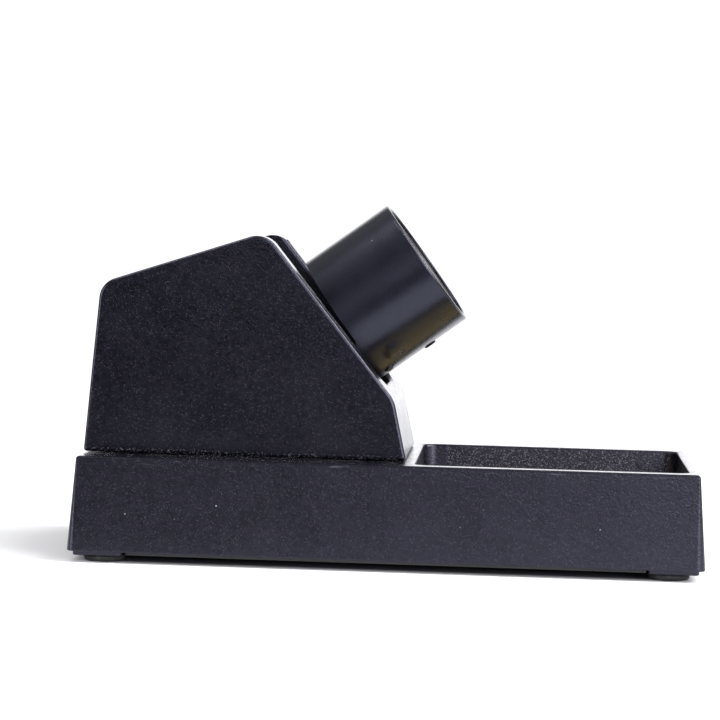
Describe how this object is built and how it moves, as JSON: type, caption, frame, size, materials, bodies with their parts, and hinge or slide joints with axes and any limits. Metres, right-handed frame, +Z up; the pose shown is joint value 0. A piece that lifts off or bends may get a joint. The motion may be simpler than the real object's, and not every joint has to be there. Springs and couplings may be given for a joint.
{
  "type": "soldering iron stand",
  "caption": "Cast bench stand for a soldering iron: a hollow sloping tower carries a short tilting holder tube, beside a sponge tray in the long drafted base.",
  "frame": {"origin": "on the table, under the middle of the base's footprint", "axes": "+X along the length from the tower to the tray, +Y across the width, +Z up"},
  "size_m": [0.1698, 0.0798, 0.0973],
  "materials": {
    "cast_black": "black fine-texture coating on a casting, semi-matt with pale specks",
    "tube_black": "smooth satin black coating",
    "plate_black": "matt black sheet steel",
    "screw_zinc": "bright zinc plate",
    "screw_dark": "black oxide",
    "ring_phenolic": "dark moulded heat-resistant plastic",
    "foot_rubber": "black moulded rubber",
    "sponge_yellow": "open-pored cellulose sponge"
  },
  "bodies": {
    "stand": {"base_casting": "cast_black", "tower_housing": "cast_black", "bottom_plate": "plate_black", "rubber_foot_rear_right": "foot_rubber", "rubber_foot_rear_left": "foot_rubber", "rubber_foot_front_right": "foot_rubber", "rubber_foot_front_left": "foot_rubber", "plate_screw_rear_right": "screw_zinc", "plate_screw_rear_left": "screw_zinc", "plate_screw_front_right": "screw_zinc", "plate_screw_front_left": "screw_zinc", "tower_screw_rear_right": "screw_zinc", "tower_screw_rear_left": "screw_zinc", "tower_screw_front_right": "screw_zinc", "tower_screw_front_left": "screw_zinc"},
    "holder": {"holder_tube": "tube_black", "holder_carrier": "plate_black", "mouth_ring": "ring_phenolic", "carrier_rivet": "screw_dark", "carrier_screw_right": "screw_dark", "carrier_screw_left": "screw_dark"},
    "adjuster_right": {"adjusting_screw_right": "screw_zinc", "adjusting_washer_right": "screw_zinc"},
    "adjuster_left": {"adjusting_screw_left": "screw_zinc", "adjusting_washer_left": "screw_zinc"},
    "sponge": {"cleaning_sponge": "sponge_yellow"}
  },
  "joints": [
    {"name": "holder_tilt", "type": "hinge", "parent": "stand", "child": "holder", "pos_m": [-0.02408, 0, 0.05834], "axis": [0, -1, 0], "range_deg": [-8, 6]},
    {"name": "adjuster_right_turn", "type": "hinge", "parent": "stand", "child": "adjuster_right", "pos_m": [-0.02408, -0.0148, 0.05834], "axis": [0, 1, 0], "range_deg": [0, 180]},
    {"name": "adjuster_left_turn", "type": "hinge", "parent": "stand", "child": "adjuster_left", "pos_m": [-0.02408, 0.0148, 0.05834], "axis": [0, -1, 0], "range_deg": [0, 180]},
    {"name": "sponge_lift", "type": "slide", "parent": "stand", "child": "sponge", "axis": [0, 0, 1], "range_m": [0, 0.03]}
  ]
}
